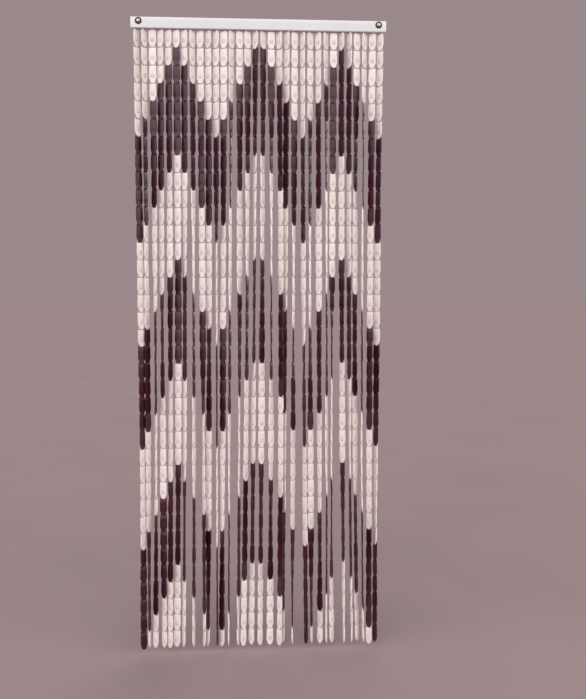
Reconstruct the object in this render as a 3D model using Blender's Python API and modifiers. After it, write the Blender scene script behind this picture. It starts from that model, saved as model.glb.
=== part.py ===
"""Insect door curtain: strands of flat moulded links that hang from an aluminium rail.

Metres, +Z up. The origin is the centre of the rail's back face, which faces +Y. The viewer is at -Y."""

from math import cos, radians, sin, tau
from typing import NamedTuple

import bmesh
import bpy
from mathutils import Matrix, Vector

# Rail: an extruded channel with a slot along its underside
RAIL_LENGTH = 0.834
RAIL_HEIGHT = 0.036
RAIL_DEPTH = 0.020
RAIL_WALL = 0.0015
SLOT_WIDTH = 0.008
EDGE_RADIUS = 0.003
EDGE_STEPS = 3

# Strands: flat links on joints that let them turn and sway
STRANDS = 32
LINKS = 36
STRAND_PITCH = 0.0258
LINK_PITCH = 0.0573
LINK_THICKNESS = 0.0048

# One link's outline, as drops below its joint and half widths there
TOP_HALF_WIDTH = 0.0108
SHOULDER_DROP = 0.0380
SHOULDER_HALF_WIDTH = 0.0123
NECK_DROP = 0.0505
NECK_HALF_WIDTH = 0.0072
TIP_HALF_WIDTH = 0.0054
RIDGE_DROP = 0.0290

# The first link of a strand has cut corners and a stem that goes up through the slot
CORNER_DROP = 0.0010
CORNER_HALF_WIDTH = 0.0088
WIDE_DROP = 0.0080
STEM_HALF_WIDTH = 0.0025
STEM_THICKNESS = 0.003

# The strip that the stems of one half of the strands run into
STRIP_WIDTH = 0.010
STRIP_HEIGHT = 0.004
STRIP_OVERHANG = 0.008
STRIP_GAP = 0.0003

# The zigzag: ivory links at the top of a strand, then bands of both colours in turn
ZIGZAG_HALF = 5
BAND_LINKS = 6

# Fixings: a washer and a screw through the rail, near each end
FIXING_ABOVE_EDGE = 0.0235
FIXING_INSET = 0.025
WASHER_RADIUS = 0.011
WASHER_THICKNESS = 0.0025
HEAD_RADIUS = 0.006
HEAD_HEIGHT = 0.002
SHANK_RADIUS = 0.002
FIXING_GAP = 0.0003
HOLE_CLEARANCE = 0.0006
ROUND_STEPS = 16

STRAND_Y = -RAIL_DEPTH / 2
RAIL_UNDERSIDE = -RAIL_HEIGHT / 2
STRIP_BOTTOM = RAIL_UNDERSIDE + RAIL_WALL + STRIP_GAP
DROP = LINKS * LINK_PITCH
MILLIMETRE = 0.001


class Hang(NamedTuple):
    """How one strand hangs. The side is the one that its links' faces turn to, and the turns are
    their degrees from face-on at seven places. Bow is its sideways millimetres at the middle and
    lean those at its foot, both to the right, and depth is the millimetres at its foot away from
    the viewer."""

    side: int
    turns: tuple
    bow: float
    lean: float
    depth: float


# The sides that a strand's links can face
RIGHT = 1
LEFT = -1
# The links at which the turns are given, counted from the rail
TURN_LINKS = (1, 8, 13, 18, 23, 28, 34)
HANGS = (
    Hang(RIGHT, (50, 38, 38, 37, 54, 52, 33), 4, 5, -12),
    Hang(RIGHT, (47, 68, 66, 50, 48, 70, 81), 1, -2, 2),
    Hang(LEFT, (18, 47, 65, 84, 81, 79, 52), 5, -8, 0),
    Hang(LEFT, (40, 47, 59, 79, 47, 19, 55), 0, -4, 0),
    Hang(LEFT, (33, 51, 41, 61, 63, 54, 50), 4, -10, -4),
    Hang(LEFT, (24, 28, 43, 24, 34, 61, 25), 6, -13, 3),
    Hang(LEFT, (34, 44, 66, 64, 64, 82, 69), 3, -16, 0),
    Hang(RIGHT, (45, 54, 83, 77, 69, 74, 75), 3, -7, 0),
    Hang(LEFT, (26, 38, 40, 40, 82, 69, 70), 2, 3, -2),
    Hang(LEFT, (35, 36, 41, 59, 45, 44, 68), 4, -11, 3),
    Hang(LEFT, (35, 50, 83, 85, 86, 88, 87), 0, -4, 0),
    Hang(LEFT, (12, 43, 57, 30, 43, 64, 47), 1, -15, -3),
    Hang(RIGHT, (43, 76, 71, 75, 75, 86, 89), -1, -17, 0),
    Hang(RIGHT, (12, 49, 41, 68, 81, 72, 69), 2, -9, 0),
    Hang(RIGHT, (24, 58, 68, 69, 52, 51, 43), 5, -18, -4),
    Hang(LEFT, (45, 66, 74, 71, 55, 61, 40), 2, -16, 4),
    Hang(RIGHT, (40, 57, 57, 43, 26, 66, 45), 1, -12, -3),
    Hang(RIGHT, (12, 63, 83, 82, 38, 66, 16), 3, -4, 0),
    Hang(LEFT, (37, 48, 50, 50, 48, 48, 47), 6, 2, -10),
    Hang(LEFT, (35, 41, 46, 52, 54, 59, 69), -1, -9, 12),
    Hang(RIGHT, (20, 35, 72, 74, 47, 54, 82), 0, -4, 0),
    Hang(LEFT, (49, 57, 50, 69, 63, 51, 58), -2, 18, -4),
    Hang(RIGHT, (30, 60, 74, 69, 33, 24, 72), -3, 13, 4),
    Hang(LEFT, (36, 45, 24, 49, 50, 64, 40), 0, 15, -2),
    Hang(RIGHT, (45, 71, 75, 78, 65, 78, 75), 2, 12, 0),
    Hang(RIGHT, (6, 30, 28, 79, 82, 83, 51), -3, 5, 3),
    Hang(LEFT, (40, 34, 36, 50, 33, 61, 68), -3, 21, -3),
    Hang(LEFT, (41, 46, 47, 50, 65, 84, 86), -5, 23, 0),
    Hang(RIGHT, (16, 56, 36, 51, 38, 61, 55), -8, 18, 10),
    Hang(RIGHT, (47, 82, 89, 83, 72, 82, 89), -7, 11, 0),
    Hang(LEFT, (7, 29, 29, 26, 29, 37, 31), -3, 2, -16),
    Hang(LEFT, (21, 39, 21, 21, 42, 55, 44), -3, 0, 0),
)

# The viewer stands in front of this strand. To look as wide as it would facing right, one that
# faces left is turned so many degrees more for each strand further right, up to edge-on
FACED_STRAND = 8.4
LEFT_STEP = 1.06
EDGE_ON = 89


def material(name, colour, roughness, metallic=0.0):
    made = bpy.data.materials.new(name)
    made.use_nodes = True
    shader = made.node_tree.nodes["Principled BSDF"]
    shader.inputs["Base Color"].default_value = (*colour, 1.0)
    shader.inputs["Roughness"].default_value = roughness
    shader.inputs["Metallic"].default_value = metallic
    made.diffuse_color = (*colour, 1.0)
    return made


def add(name, mesh, folder, *materials):
    piece = bpy.data.objects.new(name, mesh)
    folder.objects.link(piece)
    for used in materials:
        mesh.materials.append(used)
    return piece


def solid_from(curve_object, folder):
    """The closed mesh of a filled curve, as an object in the same place."""
    bpy.context.view_layer.update()
    evaluated = curve_object.evaluated_get(bpy.context.evaluated_depsgraph_get())
    mesh = bpy.data.meshes.new_from_object(evaluated)
    welded = bmesh.new()
    welded.from_mesh(mesh)
    bmesh.ops.remove_doubles(welded, verts=welded.verts, dist=0.00001)
    welded.to_mesh(mesh)
    welded.free()
    name = curve_object.name
    place = curve_object.matrix_world.copy()
    used = list(curve_object.data.materials)
    bpy.data.objects.remove(curve_object)
    mesh.materials.clear()
    solid = add(name, mesh, folder, *used)
    solid.matrix_world = place
    return solid


def cut(piece, cutter, folder):
    cutter.hide_render = True
    cutter.display_type = "WIRE"
    folder.objects.link(cutter)
    hole = piece.modifiers.new(cutter.name, "BOOLEAN")
    hole.operation = "DIFFERENCE"
    hole.object = cutter


# Rail


def rounded(corner_y, corner_z, inward_y, inward_z):
    """The points of one rounded outer edge of the rail's section, from its side to its end."""
    centre_y = corner_y + inward_y * EDGE_RADIUS
    centre_z = corner_z + inward_z * EDGE_RADIUS
    points = []
    for step in range(EDGE_STEPS + 1):
        angle = step / EDGE_STEPS * tau / 4
        y = centre_y - inward_y * EDGE_RADIUS * cos(angle)
        z = centre_z - inward_z * EDGE_RADIUS * sin(angle)
        points.append((y, z))
    return points


def rail_section():
    """The channel's outline in Y and Z: round the outside, then back round the inside."""
    front, back = -RAIL_DEPTH, 0.0
    bottom, top = -RAIL_HEIGHT / 2, RAIL_HEIGHT / 2
    slot_front = STRAND_Y - SLOT_WIDTH / 2
    slot_back = STRAND_Y + SLOT_WIDTH / 2
    outside = [(slot_front, bottom)]
    outside += reversed(rounded(front, bottom, 1, 1))
    outside += [(front, top), (back, top), (back, bottom), (slot_back, bottom)]
    lip_top = bottom + RAIL_WALL
    inside = [
        (slot_back, lip_top),
        (back - RAIL_WALL, lip_top),
        (back - RAIL_WALL, top - RAIL_WALL),
        (front + RAIL_WALL, top - RAIL_WALL),
        (front + RAIL_WALL, bottom + EDGE_RADIUS),
        (front + EDGE_RADIUS, lip_top),
        (slot_front, lip_top),
    ]
    return outside + inside


def build_rail(folder, cutters, metal):
    outline = bpy.data.curves.new("rail", "CURVE")
    outline.dimensions = "2D"
    outline.fill_mode = "BOTH"
    outline.extrude = RAIL_LENGTH / 2
    section = rail_section()
    loop = outline.splines.new("POLY")
    loop.points.add(len(section) - 1)
    loop.use_cyclic_u = True
    for point, (y, z) in zip(loop.points, section):
        point.co = (y, z, 0.0, 1.0)
    outline.materials.append(metal)
    drawn = bpy.data.objects.new("rail", outline)
    folder.objects.link(drawn)
    drawn.matrix_world = Matrix(((0, 0, 1, 0), (1, 0, 0, 0), (0, 1, 0, 0), (0, 0, 0, 1)))
    rail = solid_from(drawn, folder)
    for side in (-1, 1):
        drill = bmesh.new()
        bmesh.ops.create_cone(
            drill,
            cap_ends=True,
            segments=ROUND_STEPS,
            radius1=SHANK_RADIUS + HOLE_CLEARANCE,
            radius2=SHANK_RADIUS + HOLE_CLEARANCE,
            depth=2 * RAIL_DEPTH,
            matrix=Matrix.Rotation(tau / 4, 4, "X"),
        )
        mesh = bpy.data.meshes.new("hole")
        drill.to_mesh(mesh)
        drill.free()
        hole = bpy.data.objects.new("hole_left" if side < 0 else "hole_right", mesh)
        hole.location = (side * fixing_x(), STRAND_Y, fixing_z())
        cut(rail, hole, cutters)
    return rail


# Fixings


def fixing_x():
    return RAIL_LENGTH / 2 - FIXING_INSET


def fixing_z():
    return RAIL_UNDERSIDE + FIXING_ABOVE_EDGE


def fixing_profile():
    """Radius against distance in front of the rail's front face, from the tip of the shank to the
    crown of the head."""
    tip = FIXING_GAP - RAIL_DEPTH
    seat = FIXING_GAP
    face = seat + WASHER_THICKNESS
    return [
        (0.0, tip),
        (SHANK_RADIUS, tip),
        (SHANK_RADIUS, seat),
        (WASHER_RADIUS, seat),
        (WASHER_RADIUS, seat + WASHER_THICKNESS / 3),
        (WASHER_RADIUS * 0.85, face),
        (HEAD_RADIUS, face - WASHER_THICKNESS / 3),
        (HEAD_RADIUS * 0.9, face + HEAD_HEIGHT / 2),
        (HEAD_RADIUS * 0.5, face + HEAD_HEIGHT),
        (0.0, face + HEAD_HEIGHT * 1.1),
    ]


def build_fixing(name, side, folder, dark):
    profile = fixing_profile()
    mesh = bpy.data.meshes.new(name)
    points = [(radius, 0.0, -along) for radius, along in profile]
    mesh.from_pydata(points, [(k, k + 1) for k in range(len(points) - 1)], [])
    fixing = add(name, mesh, folder, dark)
    turned = fixing.modifiers.new("turned", "SCREW")
    turned.axis = "Z"
    turned.steps = ROUND_STEPS
    turned.render_steps = ROUND_STEPS
    turned.use_merge_vertices = True
    turned.merge_threshold = 0.00001
    fixing.rotation_euler = (-tau / 4, 0.0, 0.0)
    fixing.location = (side * fixing_x(), -RAIL_DEPTH, fixing_z())
    return fixing


# Strands


def ivory_at_top(strand):
    """How many links at a strand's top are ivory: 6 to 1 and back, the same from both sides."""
    from_side = min(strand, STRANDS - 1 - strand)
    step = (from_side + ZIGZAG_HALF) % (2 * ZIGZAG_HALF)
    return BAND_LINKS - abs(step - ZIGZAG_HALF)


def is_ivory(strand, link):
    below = link - ivory_at_top(strand)
    return below < 0 or (below // BAND_LINKS) % 2 == 1


def turn_at(turns, links_down):
    """The turn in degrees so many links below the rail, eased between the places in the table."""
    if links_down <= TURN_LINKS[0]:
        return turns[0]
    for k in range(1, len(turns)):
        above, below = TURN_LINKS[k - 1], TURN_LINKS[k]
        if links_down <= below:
            share = (links_down - above) / (below - above)
            eased = share * share * (3 - 2 * share)
            return turns[k - 1] + (turns[k] - turns[k - 1]) * eased
    return turns[-1]


def turn_of(strand, links_down):
    """A strand's turn in degrees so many links below the rail, below zero if it faces left."""
    hang = HANGS[strand]
    turn = turn_at(hang.turns, links_down)
    if hang.side == LEFT:
        turn = min(turn + LEFT_STEP * (strand - FACED_STRAND), EDGE_ON)
    return hang.side * turn


def place(strand, z):
    """The frame of a strand's middle at a height: where it hangs, turned about the vertical."""
    hang = HANGS[strand]
    fall = min(max((RAIL_UNDERSIDE - z) / DROP, 0.0), 1.0)
    x = (strand - (STRANDS - 1) / 2) * STRAND_PITCH
    x += (hang.lean * fall + hang.bow * 4 * fall * (1 - fall)) * MILLIMETRE
    y = STRAND_Y + hang.depth * fall * MILLIMETRE
    turn = radians(turn_of(strand, fall * LINKS))
    return Matrix.Translation((x, y, z)) @ Matrix.Rotation(turn, 4, "Z")


def edge_stations():
    """Height and half width down one side of a strand, from inside the strip to the last tip, with
    the link that each one starts."""
    stem_top = STRIP_BOTTOM + STRIP_HEIGHT / 2
    stem_foot = RAIL_UNDERSIDE - STRIP_GAP
    stations = [(stem_top, STEM_HALF_WIDTH, 0), (stem_foot, STEM_HALF_WIDTH, 0)]
    for link in range(LINKS):
        joint = RAIL_UNDERSIDE - link * LINK_PITCH
        if link == 0:
            stations.append((joint - CORNER_DROP, CORNER_HALF_WIDTH, link))
            stations.append((joint - WIDE_DROP, SHOULDER_HALF_WIDTH, link))
        else:
            stations.append((joint, TOP_HALF_WIDTH, link))
        stations.append((joint - SHOULDER_DROP, SHOULDER_HALF_WIDTH, link))
        stations.append((joint - NECK_DROP, NECK_HALF_WIDTH, link))
    stations.append((RAIL_UNDERSIDE - DROP, TIP_HALF_WIDTH, LINKS - 1))
    return stations


def ridge_stations():
    """Height and distance behind the strand's middle down its back: one for each link, and the ends."""
    stem_top = STRIP_BOTTOM + STRIP_HEIGHT / 2
    stem_foot = RAIL_UNDERSIDE - STRIP_GAP
    stations = [(stem_top, STEM_THICKNESS / 2, 0), (stem_foot, STEM_THICKNESS / 2, 0)]
    for link in range(LINKS):
        joint = RAIL_UNDERSIDE - link * LINK_PITCH
        stations.append((joint - RIDGE_DROP, LINK_THICKNESS / 2, link))
    stations.append((RAIL_UNDERSIDE - DROP, 0.0, LINKS - 1))
    return stations


def sew(strand_mesh, first, second, materials_of, heights_first, heights_second):
    """Fills the band between two lines of vertices of unlike heights with triangles. Seen from
    outside, the first line is on the left."""
    i = j = 0
    while i < len(first) - 1 or j < len(second) - 1:
        on_first = j == len(second) - 1 or (
            i < len(first) - 1 and heights_first[i + 1] >= heights_second[j + 1]
        )
        if on_first:
            face = strand_mesh.faces.new((first[i], first[i + 1], second[j]))
            face.material_index = materials_of[i + 1]
            i += 1
        else:
            face = strand_mesh.faces.new((first[i], second[j + 1], second[j]))
            face.material_index = materials_of[i]
            j += 1


def add_strand(strands_mesh, strand):
    """One strand, three-sided: a flat front with the links' outline, and a ridge behind."""
    edge = edge_stations()
    ridge = ridge_stations()
    half = LINK_THICKNESS / 2
    left, right, back = [], [], []
    for z, half_width, _ in edge:
        frame = place(strand, z)
        front = -STEM_THICKNESS / 2 if half_width == STEM_HALF_WIDTH else -half
        left.append(strands_mesh.verts.new(frame @ Vector((-half_width, front, 0))))
        right.append(strands_mesh.verts.new(frame @ Vector((half_width, front, 0))))
    for z, behind, _ in ridge:
        back.append(strands_mesh.verts.new(place(strand, z) @ Vector((0, behind, 0))))
    colours = [0 if is_ivory(strand, link) else 1 for _, _, link in edge]
    for k in range(len(edge) - 1):
        face = strands_mesh.faces.new((left[k], left[k + 1], right[k + 1], right[k]))
        face.material_index = colours[k]
    edge_z = [z for z, _, _ in edge]
    ridge_z = [z for z, _, _ in ridge]
    ridge_colours = [0 if is_ivory(strand, link) else 1 for _, _, link in ridge]
    sew(strands_mesh, back, left, ridge_colours, ridge_z, edge_z)
    sew(strands_mesh, right, back, colours, edge_z, ridge_z)
    strands_mesh.faces.new((left[0], right[0], back[0]))
    strands_mesh.faces.new((right[-1], left[-1], back[-1]))


def build_strands(name, numbers, folder, cutters, ivory, burgundy):
    strands_mesh = bmesh.new()
    for strand in numbers:
        add_strand(strands_mesh, strand)
    bmesh.ops.recalc_face_normals(strands_mesh, faces=strands_mesh.faces)
    mesh = bpy.data.meshes.new(name)
    strands_mesh.to_mesh(mesh)
    strands_mesh.free()
    strands = add(name, mesh, folder, ivory, burgundy)

    first = (numbers[0] - (STRANDS - 1) / 2) * STRAND_PITCH - STRIP_OVERHANG
    last = (numbers[-1] - (STRANDS - 1) / 2) * STRAND_PITCH + STRIP_OVERHANG
    box = bmesh.new()
    bmesh.ops.create_cube(box, size=1.0)
    bmesh.ops.scale(box, vec=(last - first, STRIP_WIDTH, STRIP_HEIGHT), verts=box.verts)
    middle = ((first + last) / 2, STRAND_Y, STRIP_BOTTOM + STRIP_HEIGHT / 2)
    bmesh.ops.translate(box, vec=middle, verts=box.verts)
    strip_mesh = bpy.data.meshes.new(name + "_strip")
    box.to_mesh(strip_mesh)
    box.free()
    strip = bpy.data.objects.new(name + "_strip", strip_mesh)
    strip.hide_render = True
    strip.display_type = "WIRE"
    cutters.objects.link(strip)
    joined = strands.modifiers.new("strip", "BOOLEAN")
    joined.operation = "UNION"
    joined.object = strip
    return strands


def main():
    for old in list(bpy.data.objects):
        bpy.data.objects.remove(old)
    curtain = bpy.data.collections.new("insect_door_curtain")
    cutters = bpy.data.collections.new("cutters")
    bpy.context.scene.collection.children.link(curtain)
    bpy.context.scene.collection.children.link(cutters)

    aluminium = material("aluminium", (0.70, 0.66, 0.62), 0.35, metallic=0.6)
    ivory = material("ivory_plastic", (0.75, 0.68, 0.63), 0.25)
    burgundy = material("burgundy_plastic", (0.07, 0.03, 0.04), 0.2)
    dark = material("dark_plastic", (0.02, 0.01, 0.01), 0.3)

    build_rail(curtain, cutters, aluminium)
    build_fixing("fixing_left", -1, curtain, dark)
    build_fixing("fixing_right", 1, curtain, dark)
    half = STRANDS // 2
    build_strands("strands_left", range(half), curtain, cutters, ivory, burgundy)
    build_strands("strands_right", range(half, STRANDS), curtain, cutters, ivory, burgundy)


main()
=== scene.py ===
"""Looks of the insect door curtain: moulded links, rail and fixings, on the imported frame.

Metres, +Z up, with the viewer at -Y. The rail's back face, at the origin, faces +Y."""

import random
from math import cos, radians, sin, tau
from typing import NamedTuple

import bmesh
import bpy
import numpy as np
from mathutils import Matrix, Vector


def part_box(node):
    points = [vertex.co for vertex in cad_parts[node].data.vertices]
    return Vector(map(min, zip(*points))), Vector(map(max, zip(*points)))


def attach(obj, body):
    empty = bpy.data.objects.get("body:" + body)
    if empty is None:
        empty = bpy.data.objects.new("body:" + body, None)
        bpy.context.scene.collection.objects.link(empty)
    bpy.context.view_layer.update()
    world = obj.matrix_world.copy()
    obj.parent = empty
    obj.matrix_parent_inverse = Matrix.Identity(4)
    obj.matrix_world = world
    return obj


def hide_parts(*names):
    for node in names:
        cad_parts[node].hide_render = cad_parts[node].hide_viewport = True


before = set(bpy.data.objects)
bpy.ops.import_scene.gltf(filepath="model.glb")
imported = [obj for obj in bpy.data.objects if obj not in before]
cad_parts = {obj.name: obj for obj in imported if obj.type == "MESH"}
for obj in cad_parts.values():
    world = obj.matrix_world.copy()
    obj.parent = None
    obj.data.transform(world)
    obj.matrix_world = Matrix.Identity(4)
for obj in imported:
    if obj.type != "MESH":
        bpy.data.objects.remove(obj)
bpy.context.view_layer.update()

MILLIMETRE = 0.001

# Places that the frame gives
RAIL_LOW, RAIL_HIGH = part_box("rail")
RAIL_UNDERSIDE = RAIL_LOW.z
STRAND_Y = (RAIL_LOW.y + RAIL_HIGH.y) / 2
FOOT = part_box("strands_left")[0].z

# Strands and links
STRANDS = 32
LINKS = 36
STRAND_PITCH = 0.0258
LINK_PITCH = (RAIL_UNDERSIDE - FOOT) / LINKS
ZIGZAG_HALF = 5
BAND_LINKS = 6


class Hang(NamedTuple):
    """How one strand hangs. The side is the one that its links' faces turn to, and the turns are
    their degrees from face-on at seven places. Bow is its sideways millimetres at the middle and
    lean those at its foot, both to the right, and depth is the millimetres at its foot away from
    the viewer."""

    side: int
    turns: tuple
    bow: float
    lean: float
    depth: float


# The sides that a strand's links can face
RIGHT = 1
LEFT = -1
# The links at which the turns are given, counted from the rail
TURN_LINKS = (1, 8, 13, 18, 23, 28, 34)
HANGS = (
    Hang(RIGHT, (50, 38, 38, 37, 54, 52, 33), 4, 5, -12),
    Hang(RIGHT, (47, 68, 66, 50, 48, 70, 81), 1, -2, 2),
    Hang(LEFT, (18, 47, 65, 84, 81, 79, 52), 5, -8, 0),
    Hang(LEFT, (40, 47, 59, 79, 47, 19, 55), 0, -4, 0),
    Hang(LEFT, (33, 51, 41, 61, 63, 54, 50), 4, -10, -4),
    Hang(LEFT, (24, 28, 43, 24, 34, 61, 25), 6, -13, 3),
    Hang(LEFT, (34, 44, 66, 64, 64, 82, 69), 3, -16, 0),
    Hang(RIGHT, (45, 54, 83, 77, 69, 74, 75), 3, -7, 0),
    Hang(LEFT, (26, 38, 40, 40, 82, 69, 70), 2, 3, -2),
    Hang(LEFT, (35, 36, 41, 59, 45, 44, 68), 4, -11, 3),
    Hang(LEFT, (35, 50, 83, 85, 86, 88, 87), 0, -4, 0),
    Hang(LEFT, (12, 43, 57, 30, 43, 64, 47), 1, -15, -3),
    Hang(RIGHT, (43, 76, 71, 75, 75, 86, 89), -1, -17, 0),
    Hang(RIGHT, (12, 49, 41, 68, 81, 72, 69), 2, -9, 0),
    Hang(RIGHT, (24, 58, 68, 69, 52, 51, 43), 5, -18, -4),
    Hang(LEFT, (45, 66, 74, 71, 55, 61, 40), 2, -16, 4),
    Hang(RIGHT, (40, 57, 57, 43, 26, 66, 45), 1, -12, -3),
    Hang(RIGHT, (12, 63, 83, 82, 38, 66, 16), 3, -4, 0),
    Hang(LEFT, (37, 48, 50, 50, 48, 48, 47), 6, 2, -10),
    Hang(LEFT, (35, 41, 46, 52, 54, 59, 69), -1, -9, 12),
    Hang(RIGHT, (20, 35, 72, 74, 47, 54, 82), 0, -4, 0),
    Hang(LEFT, (49, 57, 50, 69, 63, 51, 58), -2, 18, -4),
    Hang(RIGHT, (30, 60, 74, 69, 33, 24, 72), -3, 13, 4),
    Hang(LEFT, (36, 45, 24, 49, 50, 64, 40), 0, 15, -2),
    Hang(RIGHT, (45, 71, 75, 78, 65, 78, 75), 2, 12, 0),
    Hang(RIGHT, (6, 30, 28, 79, 82, 83, 51), -3, 5, 3),
    Hang(LEFT, (40, 34, 36, 50, 33, 61, 68), -3, 21, -3),
    Hang(LEFT, (41, 46, 47, 50, 65, 84, 86), -5, 23, 0),
    Hang(RIGHT, (16, 56, 36, 51, 38, 61, 55), -8, 18, 10),
    Hang(RIGHT, (47, 82, 89, 83, 72, 82, 89), -7, 11, 0),
    Hang(LEFT, (7, 29, 29, 26, 29, 37, 31), -3, 2, -16),
    Hang(LEFT, (21, 39, 21, 21, 42, 55, 44), -3, 0, 0),
)

# The viewer stands in front of this strand. To look as wide as it would facing right, one that
# faces left is turned so many degrees more for each strand further right, up to edge-on
FACED_STRAND = 8.4
LEFT_STEP = 1.06
EDGE_ON = 89


class Level(NamedTuple):
    """One level of a link: millimetres below its joint at the middle and at the sides, half its
    width there, and where its front and back lie, away from the viewer."""

    middle: float
    side: float
    half_width: float
    front: float
    back: float


# A link from its top corners to its rounded tip. The top is thin and set back, the tip is thin and
# lies in front of the next link's top. The slot lies between two levels.
LINK_SLOT = 2
LINK_LEVELS = (
    Level(-5.0, -5.8, 9.0, 0.1, 1.5),
    Level(-4.0, -4.6, 10.2, -0.2, 2.0),
    Level(-0.6, -0.6, 10.9, -0.5, 2.0),
    Level(0.9, 0.9, 11.1, -0.5, 2.0),
    Level(1.2, 1.2, 11.1, -0.6, 2.3),
    Level(1.7, 1.7, 11.2, -1.8, 2.3),
    Level(2.4, 2.4, 11.2, -2.2, 2.3),
    Level(14.0, 14.0, 11.6, -2.3, 2.3),
    Level(25.0, 25.0, 12.0, -2.3, 2.3),
    Level(35.5, 35.5, 12.3, -2.3, 2.3),
    Level(38.5, 38.5, 12.2, -2.3, 2.3),
    Level(41.5, 41.5, 11.6, -2.3, 2.3),
    Level(44.5, 44.5, 10.5, -2.3, 2.2),
    Level(47.5, 47.5, 9.4, -2.3, 1.8),
    Level(50.5, 50.5, 8.6, -2.3, 0.8),
    Level(53.2, 53.2, 8.0, -2.3, -0.1),
    Level(55.5, 55.1, 6.9, -2.2, -0.1),
    Level(56.9, 56.4, 5.0, -2.0, -0.1),
    Level(57.6, 57.2, 2.7, -1.7, -0.2),
)

# A strand's first link is narrow for a little way under the rail, and like the others from this
# level down
FIRST_MEETS = 8
FIRST_LEVELS = (
    Level(0.6, 0.6, 8.2, -1.2, 1.2),
    Level(1.3, 1.3, 8.8, -1.8, 1.8),
    Level(4.0, 4.0, 8.8, -2.3, 2.3),
    Level(6.6, 6.6, 9.0, -2.3, 2.3),
    Level(7.8, 7.8, 11.4, -2.3, 2.3),
    Level(11.0, 11.0, 11.8, -2.3, 2.3),
    Level(17.0, 17.0, 11.9, -2.3, 2.3),
) + LINK_LEVELS[FIRST_MEETS:]


class Rib(NamedTuple):
    """One line down a link: its share of the half width, and of the half thickness."""

    across: float
    depth: float


# The front has a ridge down its middle with a groove to each side of it, and rounded rims
FRONT_RIBS = (
    Rib(-1.0, -0.40),
    Rib(-0.985, -0.90),
    Rib(-0.88, -1.00),
    Rib(-0.62, -0.92),
    Rib(0.0, -1.00),
    Rib(0.62, -0.92),
    Rib(0.88, -1.00),
    Rib(0.985, -0.90),
    Rib(1.0, -0.40),
)
BACK_RIBS = (
    Rib(0.98, 0.88),
    Rib(0.62, 0.95),
    Rib(-0.62, 0.95),
    Rib(-0.98, 0.88),
)
RIBS = FRONT_RIBS + BACK_RIBS

# The ribs that bound the slot, by their places in RIBS
SLOT_FRONT_RIBS = (3, 5)
SLOT_BACK_RIBS = (10, 11)

# How far a link's tip swings forward, in degrees
LINK_TILT = 0.8

# The round stud on each link's face, in millimetres: how far below the joint it is, where the
# plate's face lies there, and its rim and dome as radii against heights above the plate
STUD_DROP = 33.7
STUD_SEAT = -2.05
STUD_STEPS = 14
STUD_RIM = ((6.4, -0.1), (6.2, 0.75), (5.6, 0.75), (5.2, 0.0))
STUD_DOME = ((3.9, -0.1), (3.7, 0.75), (2.4, 1.1), (0.0, 1.25))

# The hook behind each tip, which goes through the next link's slot: half its width, and its
# section in depth and drop
HOOK_HALF_WIDTH = 3.6
HOOK_SECTION = ((-0.3, 56.8), (-0.3, 57.6), (4.1, 57.6), (4.1, 51.8), (3.0, 51.8), (3.0, 56.8))

# Chance differences from link to link, in degrees
TURN_CHANCE = 3.0
SWING_CHANCE = 0.8

# Rail section, in millimetres: a channel with a slot below and a lip along its lower front edge
RAIL_WALL = 1.5
SLOT_WIDTH = 8.0
LIP_RADIUS = 3.0
LIP_HEIGHT = 4.2
LIP_STEP = 0.4
CORNER_RADIUS = 0.6
LIP_STEPS = 8
CORNER_STEPS = 3

# Strips inside the rail that the strands hang from, in metres. Each strand has a stem, which
# starts in the strip and ends a little below the rail
STRIP_WIDTH = 0.010
STRIP_HEIGHT = 0.004
STRIP_GAP = 0.0003
STRIP_OVERHANG = 0.008
STRIP_BEVEL = 0.0006
STRIP_BEVEL_STEPS = 2
STEM_WIDTH = 0.005
STEM_THICKNESS = 0.003
STEM_ROOT = 0.001
STEM_DROP = 0.002

# Fixings, the holes for them in the rail and the cross recesses in their screws, in metres and
# degrees
FIXING_INSET = 0.025
FIXING_ABOVE_EDGE = 0.0235
FIXING_X = RAIL_HIGH.x - FIXING_INSET
FIXING_Z = RAIL_UNDERSIDE + FIXING_ABOVE_EDGE
FIXING_STEPS = 48
HOLE_RADIUS = 0.0026
HOLE_DEPTH = 0.08
HOLE_STEPS = 32
CROSS_WIDTH = 0.0010
CROSS_REACH = 0.0058
CROSS_DEPTH = 0.0036
CROSS_FORWARD = 0.0047
CROSS_TURN = 20

# Radii against millimetres in front of the rail's front face
WASHER_PROFILE = (
    (2.3, 0.3),
    (10.6, 0.3),
    (11.0, 0.5),
    (11.0, 1.1),
    (10.7, 1.7),
    (10.0, 2.3),
    (9.0, 2.75),
    (8.0, 2.8),
    (7.2, 2.5),
    (6.6, 1.9),
    (6.3, 1.5),
    (2.3, 1.5),
    (2.3, 0.3),
)
SCREW_PROFILE = (
    (0.0, -19.7),
    (1.2, -19.7),
    (2.0, -18.6),
    (2.0, 1.6),
    (6.0, 1.6),
    (6.0, 3.0),
    (5.7, 3.6),
    (4.8, 4.2),
    (3.2, 4.6),
    (1.6, 4.7),
    (0.0, 4.7),
)

# Edges sharper than these, in degrees, stay crisp
LINK_CREASE = 50
CARVED_CREASE = 35
TURNED_CREASE = 40

# The camera, from the photograph: millimetres for its lens, metres and degrees for its place
LENS = 41.5
CAMERA_PLACE = (-0.182, -2.70, -0.840)
CAMERA_DOWN = 3.99
CAMERA_RIGHT = 3.56
CAMERA_ROLL = -0.06
PHOTO_WIDTH = 586
PHOTO_HEIGHT = 699
PICTURE_MIDDLE = (255.2, 339.5)

# The ground, in metres, and the colour of the room behind and around the curtain
FLOOR_GAP = 0.02
FLOOR_RADIUS = 60.0
FLOOR_STEPS = 96
FLOOR_DEEP = (0.30, 0.240, 0.246)
FLOOR_CLEAR = (0.35, 0.280, 0.288)
ROOM_COLOUR = (0.325, 0.252, 0.262, 1.0)


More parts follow.
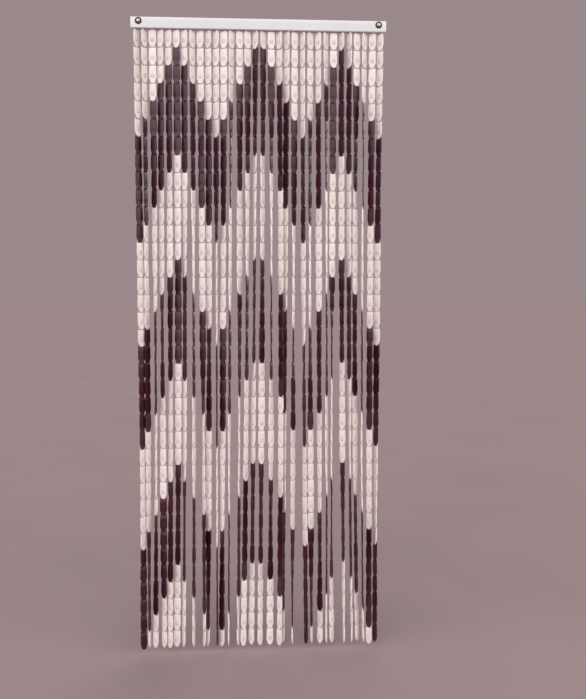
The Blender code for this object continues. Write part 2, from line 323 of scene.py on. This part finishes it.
class Plastic(NamedTuple):
    """Tones of the links' plastic: its deeper and its clearer colour, the colour of dust and
    painted shade in its hollows, and its roughness."""

    deep: tuple
    clear: tuple
    crevice: tuple
    roughness: float


# The crevice colours darken the hollows: dust, and painted shade where the stud's rim and the tip
# above would shade the face
IVORY = Plastic((0.80, 0.73, 0.70), (0.88, 0.82, 0.79), (0.20, 0.14, 0.13), 0.28)
BURGUNDY = Plastic((0.024, 0.002, 0.006), (0.057, 0.005, 0.020), (0.006, 0.002, 0.003), 0.32)

# A link's colour: how much its own shade and the cloudiness along it count, and the cloudiness
SHADE_SHARE = 0.6
CLOUD_SHARE = 0.4
CLOUD_SCALE = 22.0
CLOUD_RANGE = (0.3, 0.7)

# How much dust and painted shade lie where on a link's front: least and most of it, its amount in
# the groove round the stud's dome and round the rim, against the distance from the stud's middle as
# a share of the reach, and the heights in millimetres between which it builds up under the tip
# above. The darkening stands partly for dust and partly for the shade that the stud's rim and the
# tip above would cast, painted into the colour. The front fades into the back over a little way to
# each side of the joint's plane
DUST_AND_PAINTED_SHADE_RANGE = (0.35, 0.85)
STUD_DUST_AND_PAINTED_SHADE_REACH = 10.0
STUD_DUST_AND_PAINTED_SHADE = (
    (0.37, 0.0),
    (0.43, 1.0),
    (0.50, 1.0),
    (0.56, 0.0),
    (0.62, 0.0),
    (0.66, 0.75),
    (0.74, 0.0),
)
TIP_DUST_AND_PAINTED_SHADE_FROM = -2.6
TIP_DUST_AND_PAINTED_SHADE_TO = -0.9
FRONT_FADE = 0.2

# The fine lines in which the plastic flowed: their scale, their stretch along the link, how far
# apart in them two links lie, and their effect on roughness and relief
FLOW_SCALE = 0.45
FLOW_STRETCH = (1.0, 1.0, 0.12)
FLOW_APART = 900.0
FLOW_SMOOTHER = 0.06
FLOW_ROUGHER = 0.10
FLOW_RELIEF = (0.35, 0.0006)


class Daylight(NamedTuple):
    """One soft distant light. Side is the degrees that it stands to the right of the viewer's
    direction, height those above the floor and spread its width. Strength is watts a square
    metre."""

    side: float
    height: float
    spread: float
    strength: float
    colour: tuple


# Broad lights in front, with a softer one from behind
DAYLIGHTS = {
    "front": Daylight(-6, 34, 50, 0.95, (1.0, 0.96, 0.98)),
    "left": Daylight(-52, 22, 60, 1.45, (1.0, 0.97, 1.0)),
    "right": Daylight(50, 22, 60, 1.40, (1.0, 0.94, 0.89)),
    "behind": Daylight(165, 30, 70, 1.3, (1.0, 0.97, 0.97)),
}


# Materials


def new_material(name):
    made = bpy.data.materials.new(name)
    made.use_nodes = True
    return made, made.node_tree, made.node_tree.nodes["Principled BSDF"]


def node(tree, kind, **values):
    made = tree.nodes.new(kind)
    for name, value in values.items():
        setattr(made, name, value)
    return made


def noise(tree, coordinates, scale, detail, stretch=(1, 1, 1)):
    """Noise at a scale, on coordinates that are stretched first."""
    mapping = node(tree, "ShaderNodeMapping")
    mapping.inputs["Scale"].default_value = stretch
    tree.links.new(coordinates, mapping.inputs["Vector"])
    made = node(tree, "ShaderNodeTexNoise")
    made.inputs["Scale"].default_value = scale
    made.inputs["Detail"].default_value = detail
    tree.links.new(mapping.outputs["Vector"], made.inputs["Vector"])
    return made.outputs["Fac"]


def ranged(tree, value, low, high, from_low=0.0, from_high=1.0):
    made = node(tree, "ShaderNodeMapRange")
    made.inputs["From Min"].default_value = from_low
    made.inputs["From Max"].default_value = from_high
    made.inputs["To Min"].default_value = low
    made.inputs["To Max"].default_value = high
    tree.links.new(value, made.inputs["Value"])
    return made.outputs["Result"]


def mixed(tree, share, first, second):
    """A colour between two, by a share."""
    made = node(tree, "ShaderNodeMix", data_type="RGBA")
    made.inputs[6].default_value = (*first, 1.0)
    made.inputs[7].default_value = (*second, 1.0)
    tree.links.new(share, made.inputs["Factor"])
    return made.outputs[2]


def bump(tree, shader, height, strength, distance):
    made = node(tree, "ShaderNodeBump")
    made.inputs["Strength"].default_value = strength
    made.inputs["Distance"].default_value = distance
    tree.links.new(height, made.inputs["Height"])
    tree.links.new(made.outputs["Normal"], shader.inputs["Normal"])


def ramp(tree, value, *stops):
    """A value between 0 and 1 from pairs of place and value."""
    made = node(tree, "ShaderNodeValToRGB")
    made.color_ramp.interpolation = "EASE"
    points = made.color_ramp.elements
    for place, _ in stops[2:]:
        points.new(place)
    for point, (place, level) in zip(points, stops):
        point.position = place
        point.color = (level, level, level, 1.0)
    tree.links.new(value, made.inputs["Fac"])
    return made.outputs["Color"]


def combined(tree, operation, first, second):
    made = node(tree, "ShaderNodeMath", operation=operation)
    for socket, value in zip(made.inputs, (first, second)):
        if isinstance(value, float):
            socket.default_value = value
        else:
            tree.links.new(value, socket)
    return made.outputs[0]


def link_plastic(name, tones):
    """Glossy moulded plastic. Its colour differs a little from link to link and along each one, its
    surface has the fine lines in which the plastic flowed, and dust and painted shade lie in the
    groove round the stud and where the tip above rests."""
    made, tree, shader = new_material(name)
    object_place = node(tree, "ShaderNodeTexCoord").outputs["Object"]
    local = node(tree, "ShaderNodeAttribute", attribute_name="local").outputs["Vector"]
    shade = node(tree, "ShaderNodeAttribute", attribute_name="shade").outputs["Fac"]
    cloudy = noise(tree, object_place, CLOUD_SCALE, 3.0)
    body = combined(tree, "MULTIPLY", shade, SHADE_SHARE)
    body = combined(tree, "ADD", body, ranged(tree, cloudy, 0.0, CLOUD_SHARE, *CLOUD_RANGE))
    colour = mixed(tree, body, tones.deep, tones.clear)

    # Painted shade with dust: the groove round the stud and the face under the tip above are
    # darkened towards the crevice colour
    from_stud = node(tree, "ShaderNodeVectorMath", operation="DISTANCE")
    from_stud.inputs[1].default_value = (0.0, STUD_SEAT, -STUD_DROP)
    tree.links.new(local, from_stud.inputs[0])
    outward = combined(tree, "MULTIPLY", from_stud.outputs["Value"], 1 / STUD_DUST_AND_PAINTED_SHADE_REACH)
    round_stud = ramp(tree, outward, *STUD_DUST_AND_PAINTED_SHADE)
    apart = node(tree, "ShaderNodeSeparateXYZ")
    tree.links.new(local, apart.inputs[0])
    under_tip = ranged(tree, apart.outputs["Z"], 0.0, 1.0, TIP_DUST_AND_PAINTED_SHADE_FROM, TIP_DUST_AND_PAINTED_SHADE_TO)
    front = ranged(tree, apart.outputs["Y"], 0.0, 1.0, FRONT_FADE, -FRONT_FADE)
    hollow = combined(tree, "MULTIPLY", combined(tree, "MAXIMUM", round_stud, under_tip), front)
    amount = ranged(tree, cloudy, *DUST_AND_PAINTED_SHADE_RANGE, *CLOUD_RANGE)
    dust_and_painted_shade = combined(tree, "MULTIPLY", hollow, amount)
    shaded = node(tree, "ShaderNodeMix", data_type="RGBA")
    shaded.inputs[7].default_value = (*tones.crevice, 1.0)
    tree.links.new(dust_and_painted_shade, shaded.inputs["Factor"])
    tree.links.new(colour, shaded.inputs[6])
    tree.links.new(shaded.outputs[2], shader.inputs["Base Color"])

    moved = node(tree, "ShaderNodeVectorMath", operation="ADD")
    tree.links.new(local, moved.inputs[0])
    tree.links.new(combined(tree, "MULTIPLY", shade, FLOW_APART), moved.inputs[1])
    flow = noise(tree, moved.outputs["Vector"], FLOW_SCALE, 4.0, FLOW_STRETCH)
    smooth = tones.roughness - FLOW_SMOOTHER
    rough = tones.roughness + FLOW_ROUGHER
    tree.links.new(ranged(tree, flow, smooth, rough), shader.inputs["Roughness"])
    bump(tree, shader, flow, *FLOW_RELIEF)
    return made


def rail_metal():
    """Satin aluminium with faint lines along the rail."""
    made, tree, shader = new_material("rail_metal")
    place = node(tree, "ShaderNodeTexCoord").outputs["Object"]
    lines = noise(tree, place, 900.0, 4.0, (0.008, 1.0, 1.0))
    clouds = noise(tree, place, 9.0, 3.0)
    colour = mixed(tree, clouds, (0.59, 0.625, 0.625), (0.67, 0.705, 0.705))
    tree.links.new(colour, shader.inputs["Base Color"])
    tree.links.new(ranged(tree, lines, 0.30, 0.48), shader.inputs["Roughness"])
    shader.inputs["Metallic"].default_value = 0.35
    bump(tree, shader, lines, 0.25, 0.0002)
    return made


def grained(name, scale, deep, clear, smooth, rough, stretch=(1, 1, 1)):
    """A material whose colour and roughness follow one fine grain."""
    made, tree, shader = new_material(name)
    place = node(tree, "ShaderNodeTexCoord").outputs["Object"]
    grain = noise(tree, place, scale, 3.0, stretch)
    tree.links.new(mixed(tree, grain, deep, clear), shader.inputs["Base Color"])
    tree.links.new(ranged(tree, grain, smooth, rough), shader.inputs["Roughness"])
    return made, tree, shader, grain


def washer_plastic():
    deep, clear = (0.016, 0.004, 0.007), (0.045, 0.012, 0.018)
    made, tree, shader, grain = grained("washer_plastic", 700.0, deep, clear, 0.25, 0.42)
    bump(tree, shader, grain, 0.2, 0.0002)
    return made


def screw_metal():
    deep, clear = (0.52, 0.45, 0.44), (0.68, 0.60, 0.58)
    made, tree, shader, grain = grained("screw_metal", 500.0, deep, clear, 0.24, 0.44)
    shader.inputs["Metallic"].default_value = 0.8
    bump(tree, shader, grain, 0.15, 0.0001)
    return made


def strip_plastic():
    deep, clear = (0.50, 0.46, 0.43), (0.60, 0.56, 0.53)
    return grained("strip_plastic", 260.0, deep, clear, 0.35, 0.5, (0.1, 1.0, 1.0))[0]


# Shapes of one link, as points in millimetres and faces. X runs across, Y away from the viewer and
# Z up from the link's joint.


class Shape:
    """Points and faces that grow as forms are added."""

    def __init__(self):
        self.points = []
        self.faces = []

    def add(self, points, faces):
        first = len(self.points)
        self.points += points
        self.faces += [tuple(first + k for k in face) for face in faces]


def plate(levels, slot=None):
    """The ribbed plate through these levels, with a see-through slot below one of them."""
    points, faces = [], []
    for level in levels:
        middle = (level.front + level.back) / 2
        half = (level.back - level.front) / 2
        for rib in RIBS:
            drop = level.middle + (level.side - level.middle) * rib.across * rib.across
            points.append((rib.across * level.half_width, middle + rib.depth * half, -drop))
    around = len(RIBS)
    for k in range(len(levels) - 1):
        for i in range(around):
            j = (i + 1) % around
            in_slot = SLOT_FRONT_RIBS[0] <= i < SLOT_FRONT_RIBS[1] or i == SLOT_BACK_RIBS[0]
            if k == slot and in_slot:
                continue
            upper, lower = k * around, (k + 1) * around
            faces.append((upper + i, lower + i, lower + j, upper + j))
    if slot is not None:
        left, right = SLOT_FRONT_RIBS
        back_right, back_left = SLOT_BACK_RIBS
        upper, lower = slot * around, (slot + 1) * around
        middle = left + 1
        faces.append((upper + left, upper + back_left, lower + back_left, lower + left))
        faces.append((upper + right, lower + right, lower + back_right, upper + back_right))
        top_edge = (left, middle, right, back_right, back_left)
        faces.append(tuple(upper + i for i in top_edge))
        foot_edge = (left, back_left, back_right, right, middle)
        faces.append(tuple(lower + i for i in foot_edge))
    faces.append(tuple(range(around)))
    last = (len(levels) - 1) * around
    faces.append(tuple(last + i for i in reversed(range(around))))
    return points, faces


def turned(profile, steps):
    """A form turned about the stud's axis, from radii and heights towards the viewer."""
    points, faces = [], []
    for radius, height in profile:
        count = steps if radius else 1
        for step in range(count):
            angle = tau * step / steps
            x = radius * cos(angle)
            z = radius * sin(angle)
            points.append((x, STUD_SEAT - height, z - STUD_DROP))
    for k in range(len(profile) - 1):
        for i in range(steps):
            j = (i + 1) % steps
            outer = k * steps
            if profile[k + 1][0]:
                faces.append((outer + i, outer + j, outer + steps + j, outer + steps + i))
            else:
                faces.append((outer + i, outer + j, outer + steps))
    return points, faces


def hook():
    """The bent end that holds the next link."""
    count = len(HOOK_SECTION)
    left = [(-HOOK_HALF_WIDTH, y, -drop) for y, drop in HOOK_SECTION]
    right = [(HOOK_HALF_WIDTH, y, -drop) for y, drop in HOOK_SECTION]
    faces = [(i, (i + 1) % count, count + (i + 1) % count, count + i) for i in range(count)]
    faces.append(tuple(reversed(range(count))))
    faces.append(tuple(range(count, 2 * count)))
    return left + right, faces


def link_shape(levels, slot=None, hooked=True):
    shape = Shape()
    shape.add(*plate(levels, slot))
    shape.add(*turned(STUD_RIM, STUD_STEPS))
    shape.add(*turned(STUD_DOME, STUD_STEPS))
    if hooked:
        shape.add(*hook())
    return shape


# Where each link hangs


def ivory_at_top(strand):
    """How many links at a strand's top are ivory: 6 to 1 and back, the same from both sides."""
    from_side = min(strand, STRANDS - 1 - strand)
    step = (from_side + ZIGZAG_HALF) % (2 * ZIGZAG_HALF)
    return BAND_LINKS - abs(step - ZIGZAG_HALF)


def is_ivory(strand, link):
    below = link - ivory_at_top(strand)
    return below < 0 or (below // BAND_LINKS) % 2 == 1


def turn_at(turns, links_down):
    """The turn in degrees so many links below the rail, eased between the places in the table."""
    if links_down <= TURN_LINKS[0]:
        return turns[0]
    for k in range(1, len(turns)):
        above, below = TURN_LINKS[k - 1], TURN_LINKS[k]
        if links_down <= below:
            share = (links_down - above) / (below - above)
            eased = share * share * (3 - 2 * share)
            return turns[k - 1] + (turns[k] - turns[k - 1]) * eased
    return turns[-1]


def turn_of(strand, links_down):
    """A strand's turn in degrees so many links below the rail, below zero if it faces left."""
    hang = HANGS[strand]
    turn = turn_at(hang.turns, links_down)
    if hang.side == LEFT:
        turn = min(turn + LEFT_STEP * (strand - FACED_STRAND), EDGE_ON)
    return hang.side * turn


def root_x(strand):
    """Where along the rail a strand hangs."""
    return (strand - (STRANDS - 1) / 2) * STRAND_PITCH


def joint(strand, links_down):
    """The middle of a strand so many links below the rail."""
    hang = HANGS[strand]
    fall = links_down / LINKS
    x = root_x(strand)
    x += (hang.lean * fall + hang.bow * 4 * fall * (1 - fall)) * MILLIMETRE
    y = STRAND_Y + hang.depth * fall * MILLIMETRE
    return Vector((x, y, RAIL_UNDERSIDE - links_down * LINK_PITCH))


def link_frame(strand, link, chance):
    """A link's place: from its joint down to the next, turned, with its tip a little forward."""
    top = joint(strand, link)
    foot = joint(strand, link + 1)
    up = (top - foot).normalized()
    turn = radians(turn_of(strand, link + 0.5) + chance.gauss(0, TURN_CHANCE))
    across = Vector((cos(turn), sin(turn), 0.0))
    across = (across - up * across.dot(up)).normalized()
    away = up.cross(across)
    axes = Matrix((across, away, up)).transposed().to_4x4()
    middle = Vector((0.0, 0.0, -LINK_PITCH / 2))
    tilt = Matrix.Rotation(-radians(LINK_TILT + chance.gauss(0, SWING_CHANCE)), 4, "X")
    return (
        Matrix.Translation(top)
        @ axes
        @ Matrix.Translation(middle)
        @ tilt
        @ Matrix.Translation(-middle)
    )


# Pieces


def placed(name, data):
    """A new object in the scene."""
    made = bpy.data.objects.new(name, data)
    bpy.context.scene.collection.objects.link(made)
    return made


def mesh_of(name, drawn):
    """A mesh of what was drawn."""
    mesh = bpy.data.meshes.new(name)
    drawn.to_mesh(mesh)
    drawn.free()
    return mesh


def ordered_mesh_of(name, drawn):
    """A mesh of what was drawn, with its points and faces in the order of their places. The order
    that they were drawn in can differ from run to run."""
    drawn.verts.index_update()
    points = [tuple(vert.co) for vert in drawn.verts]
    order = sorted(range(len(points)), key=points.__getitem__)
    new_place = {old: new for new, old in enumerate(order)}
    faces = [[new_place[vert.index] for vert in face.verts] for face in drawn.faces]
    drawn.free()
    mesh = bpy.data.meshes.new(name)
    mesh.from_pydata([points[old] for old in order], [], sorted(faces))
    return mesh


def add_piece(name, mesh, materials, slot, *nodes):
    piece = placed(name, mesh)
    for used in materials:
        mesh.materials.append(used)
    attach(piece, "root")
    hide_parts(*nodes)
    return piece


def build_strand(strand, shapes, materials):
    chance = random.Random(strand)
    points, faces, colours, shades, places = [], [], [], [], []
    for link in range(LINKS):
        kind = "first" if link == 0 else "last" if link == LINKS - 1 else "link"
        shape = shapes[kind]
        matrix = np.array(link_frame(strand, link, chance))
        world = np.array(shape.points) * MILLIMETRE @ matrix[:3, :3].T + matrix[:3, 3]
        first = len(points)
        points += world.tolist()
        places += shape.points
        faces += [tuple(first + k for k in face) for face in shape.faces]
        colours += [0 if is_ivory(strand, link) else 1] * len(shape.faces)
        shades += [chance.random()] * len(shape.points)
    name = f"strand_{strand + 1:02d}"
    mesh = bpy.data.meshes.new(name)
    mesh.from_pydata(points, [], faces)
    mesh.polygons.foreach_set("material_index", colours)
    shade = mesh.attributes.new("shade", "FLOAT", "POINT")
    shade.data.foreach_set("value", shades)
    local = mesh.attributes.new("local", "FLOAT_VECTOR", "POINT")
    local.data.foreach_set("vector", np.array(places).ravel())
    mesh.shade_smooth()
    mesh.set_sharp_from_angle(angle=radians(LINK_CREASE))
    half = "strands_left" if strand < STRANDS // 2 else "strands_right"
    return add_piece(name, mesh, materials, "link_plastic", half)


def arc(y, z, radius, start, end, steps):
    """Points round a centre between two angles in degrees, counted from +Y towards +Z."""
    points = []
    for step in range(steps + 1):
        angle = radians(start + (end - start) * step / steps)
        points.append((y + radius * cos(angle), z + radius * sin(angle)))
    return points


def rail_section():
    """The channel's outline in millimetres of Y and Z: round the outside, then back inside."""
    front = RAIL_LOW.y / MILLIMETRE
    back = RAIL_HIGH.y / MILLIMETRE
    bottom = RAIL_LOW.z / MILLIMETRE
    top = RAIL_HIGH.z / MILLIMETRE
    middle = STRAND_Y / MILLIMETRE
    slot_front, slot_back = middle - SLOT_WIDTH / 2, middle + SLOT_WIDTH / 2
    lip_top = bottom + LIP_HEIGHT
    face = front + LIP_STEP
    outside = [(slot_front, bottom)]
    outside += arc(front + LIP_RADIUS, bottom + LIP_RADIUS, LIP_RADIUS, 270, 180, LIP_STEPS)
    outside += [(front, lip_top - LIP_STEP), (face, lip_top)]
    corners = (
        (face + CORNER_RADIUS, top - CORNER_RADIUS, 180),
        (back - CORNER_RADIUS, top - CORNER_RADIUS, 90),
        (back - CORNER_RADIUS, bottom + CORNER_RADIUS, 0),
    )
    for y, z, start in corners:
        outside += arc(y, z, CORNER_RADIUS, start, start - 90, CORNER_STEPS)
    outside += [(slot_back, bottom)]
    floor = bottom + RAIL_WALL
    inside = [
        (slot_back, floor),
        (back - RAIL_WALL, floor),
        (back - RAIL_WALL, top - RAIL_WALL),
        (face + RAIL_WALL, top - RAIL_WALL),
        (face + RAIL_WALL, bottom + LIP_RADIUS),
        (front + LIP_RADIUS, floor),
        (slot_front, floor),
    ]
    return outside + inside


def apply_modifiers(piece):
    """Applies the piece's modifiers and smooths its rounded faces."""
    bpy.context.view_layer.update()
    evaluated = piece.evaluated_get(bpy.context.evaluated_depsgraph_get())
    mesh = bpy.data.meshes.new_from_object(evaluated)
    piece.modifiers.clear()
    old = piece.data
    piece.data = mesh
    bpy.data.meshes.remove(old)
    mesh.shade_smooth()
    mesh.set_sharp_from_angle(angle=radians(CARVED_CREASE))


def hole_cutter(side):
    """A round cutter along Y where one fixing goes through the rail."""
    drawn = bmesh.new()
    place = Matrix.Translation((side * FIXING_X, STRAND_Y, FIXING_Z))
    bmesh.ops.create_cone(
        drawn,
        cap_ends=True,
        segments=HOLE_STEPS,
        radius1=HOLE_RADIUS,
        radius2=HOLE_RADIUS,
        depth=HOLE_DEPTH,
        matrix=place @ Matrix.Rotation(tau / 4, 4, "X"),
    )
    name = f"hole_{side}"
    return placed(name, mesh_of(name, drawn))


def carve(piece, cutters):
    """Cuts the piece with the cutters, which are then removed."""
    for cutter in cutters:
        hole = piece.modifiers.new(cutter.name, "BOOLEAN")
        hole.operation = "DIFFERENCE"
        hole.object = cutter
    apply_modifiers(piece)
    for cutter in cutters:
        bpy.data.objects.remove(cutter)


def build_rail(metal):
    section = [(y * MILLIMETRE, z * MILLIMETRE) for y, z in rail_section()]
    drawn = bmesh.new()
    ends = [[drawn.verts.new((x, y, z)) for y, z in section] for x in (RAIL_LOW.x, RAIL_HIGH.x)]
    count = len(section)
    for i in range(count):
        j = (i + 1) % count
        drawn.faces.new((ends[0][i], ends[0][j], ends[1][j], ends[1][i]))
    drawn.faces.new(ends[0])
    drawn.faces.new(list(reversed(ends[1])))
    bmesh.ops.recalc_face_normals(drawn, faces=drawn.faces)
    mesh = mesh_of("rail_channel", drawn)
    rail = add_piece("rail_channel", mesh, [metal], "aluminium", "rail")
    carve(rail, [hole_cutter(side) for side in (-1, 1)])


def lathed(name, profile, x, steps):
    """A mesh turned about a line along Y at a fixing, from radii and millimetres in front of the
    rail's front face."""
    points, faces = [], []
    for radius, forward in profile:
        for step in range(steps if radius else 1):
            angle = tau * step / steps
            points.append(
                (
                    x + radius * MILLIMETRE * cos(angle),
                    RAIL_LOW.y - forward * MILLIMETRE,
                    FIXING_Z + radius * MILLIMETRE * sin(angle),
                )
            )
    at = 0
    for (radius, _), (following, _) in zip(profile, profile[1:]):
        here = steps if radius else 1
        for i in range(steps):
            j = (i + 1) % steps
            if not radius:
                faces.append((at, at + here + j, at + here + i))
            elif not following:
                faces.append((at + i, at + j, at + here))
            else:
                faces.append((at + i, at + j, at + here + j, at + here + i))
        at += here
    mesh = bpy.data.meshes.new(name)
    mesh.from_pydata(points, [], faces)
    outward = bmesh.new()
    outward.from_mesh(mesh)
    bmesh.ops.recalc_face_normals(outward, faces=outward.faces)
    outward.to_mesh(mesh)
    outward.free()
    mesh.shade_smooth()
    mesh.set_sharp_from_angle(angle=radians(TURNED_CREASE))
    return mesh


def cross_cutter(x, quarter):
    """One bar of the cross recess in a screw's head."""
    drawn = bmesh.new()
    bmesh.ops.create_cube(drawn, size=1.0)
    bmesh.ops.scale(drawn, vec=(CROSS_REACH, CROSS_DEPTH, CROSS_WIDTH), verts=drawn.verts)
    place = Vector((x, RAIL_LOW.y - CROSS_FORWARD, FIXING_Z))
    turn = Matrix.Rotation(radians(CROSS_TURN) + quarter * tau / 4, 4, "Y")
    bmesh.ops.transform(drawn, matrix=Matrix.Translation(place) @ turn, verts=drawn.verts)
    name = f"cross_{quarter}"
    return placed(name, mesh_of(name, drawn))


def build_fixing(name, side, plastic, metal):
    x = side * FIXING_X
    washer = lathed(name + "_washer", WASHER_PROFILE, x, FIXING_STEPS)
    add_piece(name + "_washer", washer, [plastic], "dark_plastic", name)
    head = lathed(name + "_screw", SCREW_PROFILE, x, FIXING_STEPS)
    screw = add_piece(name + "_screw", head, [metal], "dark_plastic", name)
    carve(screw, [cross_cutter(x, quarter) for quarter in (0, 1)])


def build_strip(name, strands, node_name, plastic):
    """The strip inside the rail that one half of the strands hang from, with their stems."""
    left = root_x(strands[0]) - STRIP_OVERHANG
    right = root_x(strands[-1]) + STRIP_OVERHANG
    bottom = RAIL_UNDERSIDE + RAIL_WALL * MILLIMETRE + STRIP_GAP
    box = bmesh.new()
    bmesh.ops.create_cube(box, size=1.0)
    bmesh.ops.scale(box, vec=(right - left, STRIP_WIDTH, STRIP_HEIGHT), verts=box.verts)
    middle = ((left + right) / 2, STRAND_Y, bottom + STRIP_HEIGHT / 2)
    bmesh.ops.translate(box, vec=middle, verts=box.verts)
    bmesh.ops.bevel(
        box, geom=box.edges, offset=STRIP_BEVEL, segments=STRIP_BEVEL_STEPS, affect="EDGES"
    )
    stem_length = RAIL_WALL * MILLIMETRE + STRIP_GAP + (STEM_ROOT + STEM_DROP)
    for strand in strands:
        stem = bmesh.ops.create_cube(box, size=1.0)["verts"]
        bmesh.ops.scale(box, vec=(STEM_WIDTH, STEM_THICKNESS, stem_length), verts=stem)
        turn = radians(turn_of(strand, 0))
        bmesh.ops.rotate(box, matrix=Matrix.Rotation(turn, 3, "Z"), verts=stem)
        place = (root_x(strand), STRAND_Y, bottom + STEM_ROOT - stem_length / 2)
        bmesh.ops.translate(box, vec=place, verts=stem)
    add_piece(name, ordered_mesh_of(name, box), [plastic], "link_plastic", node_name)


# Stage


def build_stage():
    """Matt ground a little below the strands, out to the horizon."""
    made, tree, shader = new_material("pale_floor")
    place = node(tree, "ShaderNodeTexCoord").outputs["Object"]
    clouds = noise(tree, place, 1.5, 3.0)
    tones = mixed(tree, clouds, FLOOR_DEEP, FLOOR_CLEAR)
    tree.links.new(tones, shader.inputs["Base Color"])
    shader.inputs["Roughness"].default_value = 1.0
    shader.inputs["Specular IOR Level"].default_value = 0.0
    ground = bmesh.new()
    bmesh.ops.create_circle(ground, cap_ends=True, segments=FLOOR_STEPS, radius=FLOOR_RADIUS)
    mesh = mesh_of("floor", ground)
    mesh.materials.append(made)
    floor = placed("floor", mesh)
    floor.location = (0.0, 0.0, FOOT - FLOOR_GAP)


def build_lights():
    world = bpy.data.worlds.new("studio")
    bpy.context.scene.world = world
    world.use_nodes = True
    world.node_tree.nodes["Background"].inputs["Color"].default_value = ROOM_COLOUR
    for name, daylight in DAYLIGHTS.items():
        data = bpy.data.lights.new(name, "SUN")
        data.angle = radians(daylight.spread)
        data.energy = daylight.strength
        data.color = daylight.colour
        light = placed(name, data)
        tip = Matrix.Rotation(radians(90 - daylight.height), 4, "X")
        light.matrix_world = Matrix.Rotation(radians(daylight.side), 4, "Z") @ tip


def build_camera():
    data = bpy.data.cameras.new("camera")
    data.lens = LENS
    data.shift_x = (PHOTO_WIDTH / 2 - PICTURE_MIDDLE[0]) / PHOTO_HEIGHT
    data.shift_y = (PICTURE_MIDDLE[1] - PHOTO_HEIGHT / 2) / PHOTO_HEIGHT
    camera = placed("camera", data)
    turn = Matrix.Rotation(-radians(CAMERA_RIGHT), 4, "Z")
    look = Matrix.Rotation(tau / 4 - radians(CAMERA_DOWN), 4, "X")
    roll = Matrix.Rotation(radians(CAMERA_ROLL), 4, "Z")
    camera.matrix_world = Matrix.Translation(CAMERA_PLACE) @ turn @ look @ roll
    bpy.context.scene.camera = camera


def main():
    ivory = link_plastic("ivory_plastic", IVORY)
    burgundy = link_plastic("burgundy_plastic", BURGUNDY)
    shapes = {
        "first": link_shape(FIRST_LEVELS),
        "link": link_shape(LINK_LEVELS, LINK_SLOT),
        "last": link_shape(LINK_LEVELS, LINK_SLOT, hooked=False),
    }
    for strand in range(STRANDS):
        build_strand(strand, shapes, [ivory, burgundy])
    half = STRANDS // 2
    strip = strip_plastic()
    build_strip("strip_left", range(half), "strands_left", strip)
    build_strip("strip_right", range(half, STRANDS), "strands_right", strip)
    build_rail(rail_metal())
    washer, screw = washer_plastic(), screw_metal()
    build_fixing("fixing_left", -1, washer, screw)
    build_fixing("fixing_right", 1, washer, screw)
    build_stage()
    build_lights()
    build_camera()
    bpy.context.scene.view_settings.view_transform = "Standard"


main()
